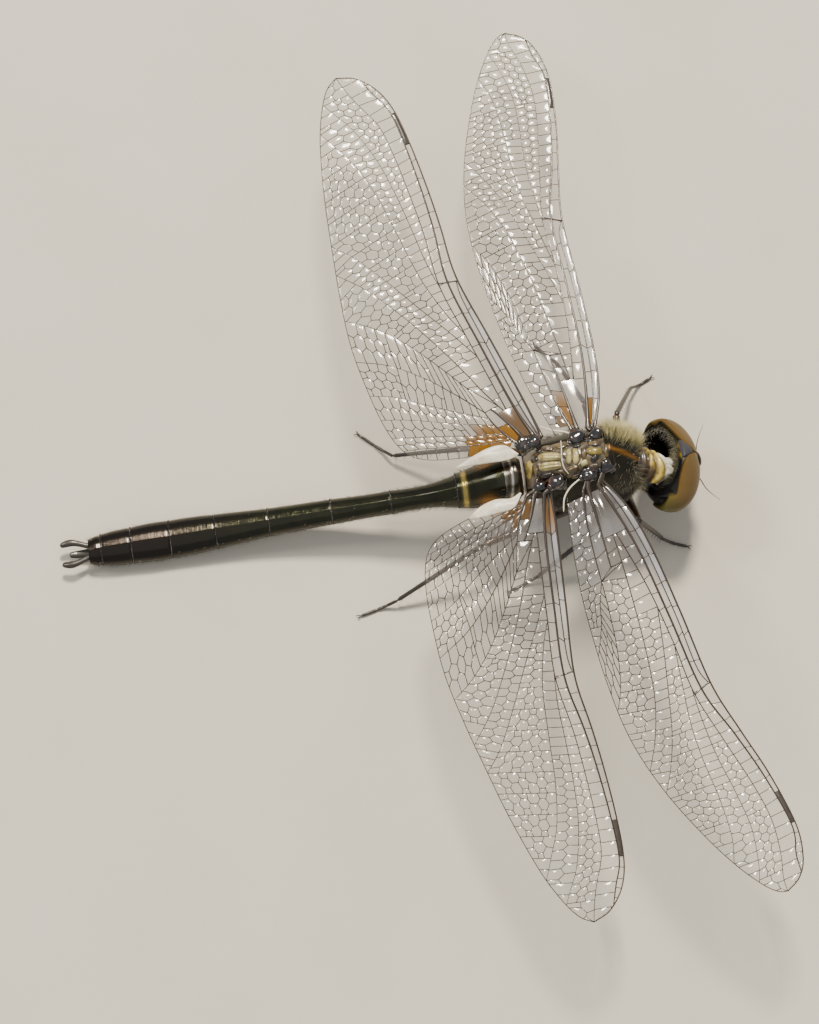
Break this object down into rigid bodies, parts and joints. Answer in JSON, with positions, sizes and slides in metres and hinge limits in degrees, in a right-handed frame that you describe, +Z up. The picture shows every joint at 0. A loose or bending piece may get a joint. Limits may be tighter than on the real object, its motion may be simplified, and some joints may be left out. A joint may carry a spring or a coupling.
{
  "type": "emerald dragonfly",
  "caption": "Life-size emerald dragonfly, newly emerged, resting with clear wings spread, slim clubbed abdomen on the ground and head hung forward.",
  "frame": {"origin": "middle of the model's bounding box, on the floor", "axes": "+X along the body towards the head, +Y to the animal's left, +Z up"},
  "size_m": [0.0498, 0.0668, 0.0103],
  "materials": {
    "thorax": "dark green-bronze chitin with a satin gloss under pale hair",
    "neck": "yellow-brown soft plates and pale membrane",
    "abdomen": "glossy black chitin with a bronze-green sheen and a pale ring behind the second segment",
    "claspers": "glossy black chitin",
    "wing": "clear wrinkled membrane with dark veins, amber at the root",
    "leg": "satin black-brown chitin with fine spines",
    "eye": "smooth tan-brown compound eye, paler below",
    "head_back": "glossy black chitin with short bristles",
    "face": "metallic dark green forehead over brown-yellow lips",
    "antenna": "black bristle"
  },
  "bodies": {
    "root": {"pterothorax": "thorax", "prothorax": "neck", "abdomen_1": "abdomen", "abdomen_2": "abdomen", "abdomen_3": "abdomen", "abdomen_4": "abdomen", "abdomen_5": "abdomen", "abdomen_6": "abdomen", "abdomen_7": "abdomen", "abdomen_8": "abdomen", "abdomen_9": "abdomen", "abdomen_10": "abdomen", "cercus_left": "claspers", "cercus_right": "claspers", "epiproct": "claspers", "wing_fore_left": "wing", "wing_fore_right": "wing", "wing_hind_left": "wing", "wing_hind_right": "wing", "coxa_fore_left": "leg", "femur_fore_left": "leg", "tibia_fore_left": "leg", "tarsus_fore_left": "leg", "coxa_fore_right": "leg", "femur_fore_right": "leg", "tibia_fore_right": "leg", "tarsus_fore_right": "leg", "coxa_mid_left": "leg", "femur_mid_left": "leg", "tibia_mid_left": "leg", "tarsus_mid_left": "leg", "coxa_mid_right": "leg", "femur_mid_right": "leg", "tibia_mid_right": "leg", "tarsus_mid_right": "leg", "coxa_hind_left": "leg", "femur_hind_left": "leg", "tibia_hind_left": "leg", "tarsus_hind_left": "leg", "coxa_hind_right": "leg", "femur_hind_right": "leg", "tibia_hind_right": "leg", "tarsus_hind_right": "leg", "eye_left": "eye", "eye_right": "eye", "head_capsule": "head_back", "frons": "face", "clypeus": "face", "labium": "face", "antenna_left": "antenna", "antenna_right": "antenna"}
  },
  "joints": []
}
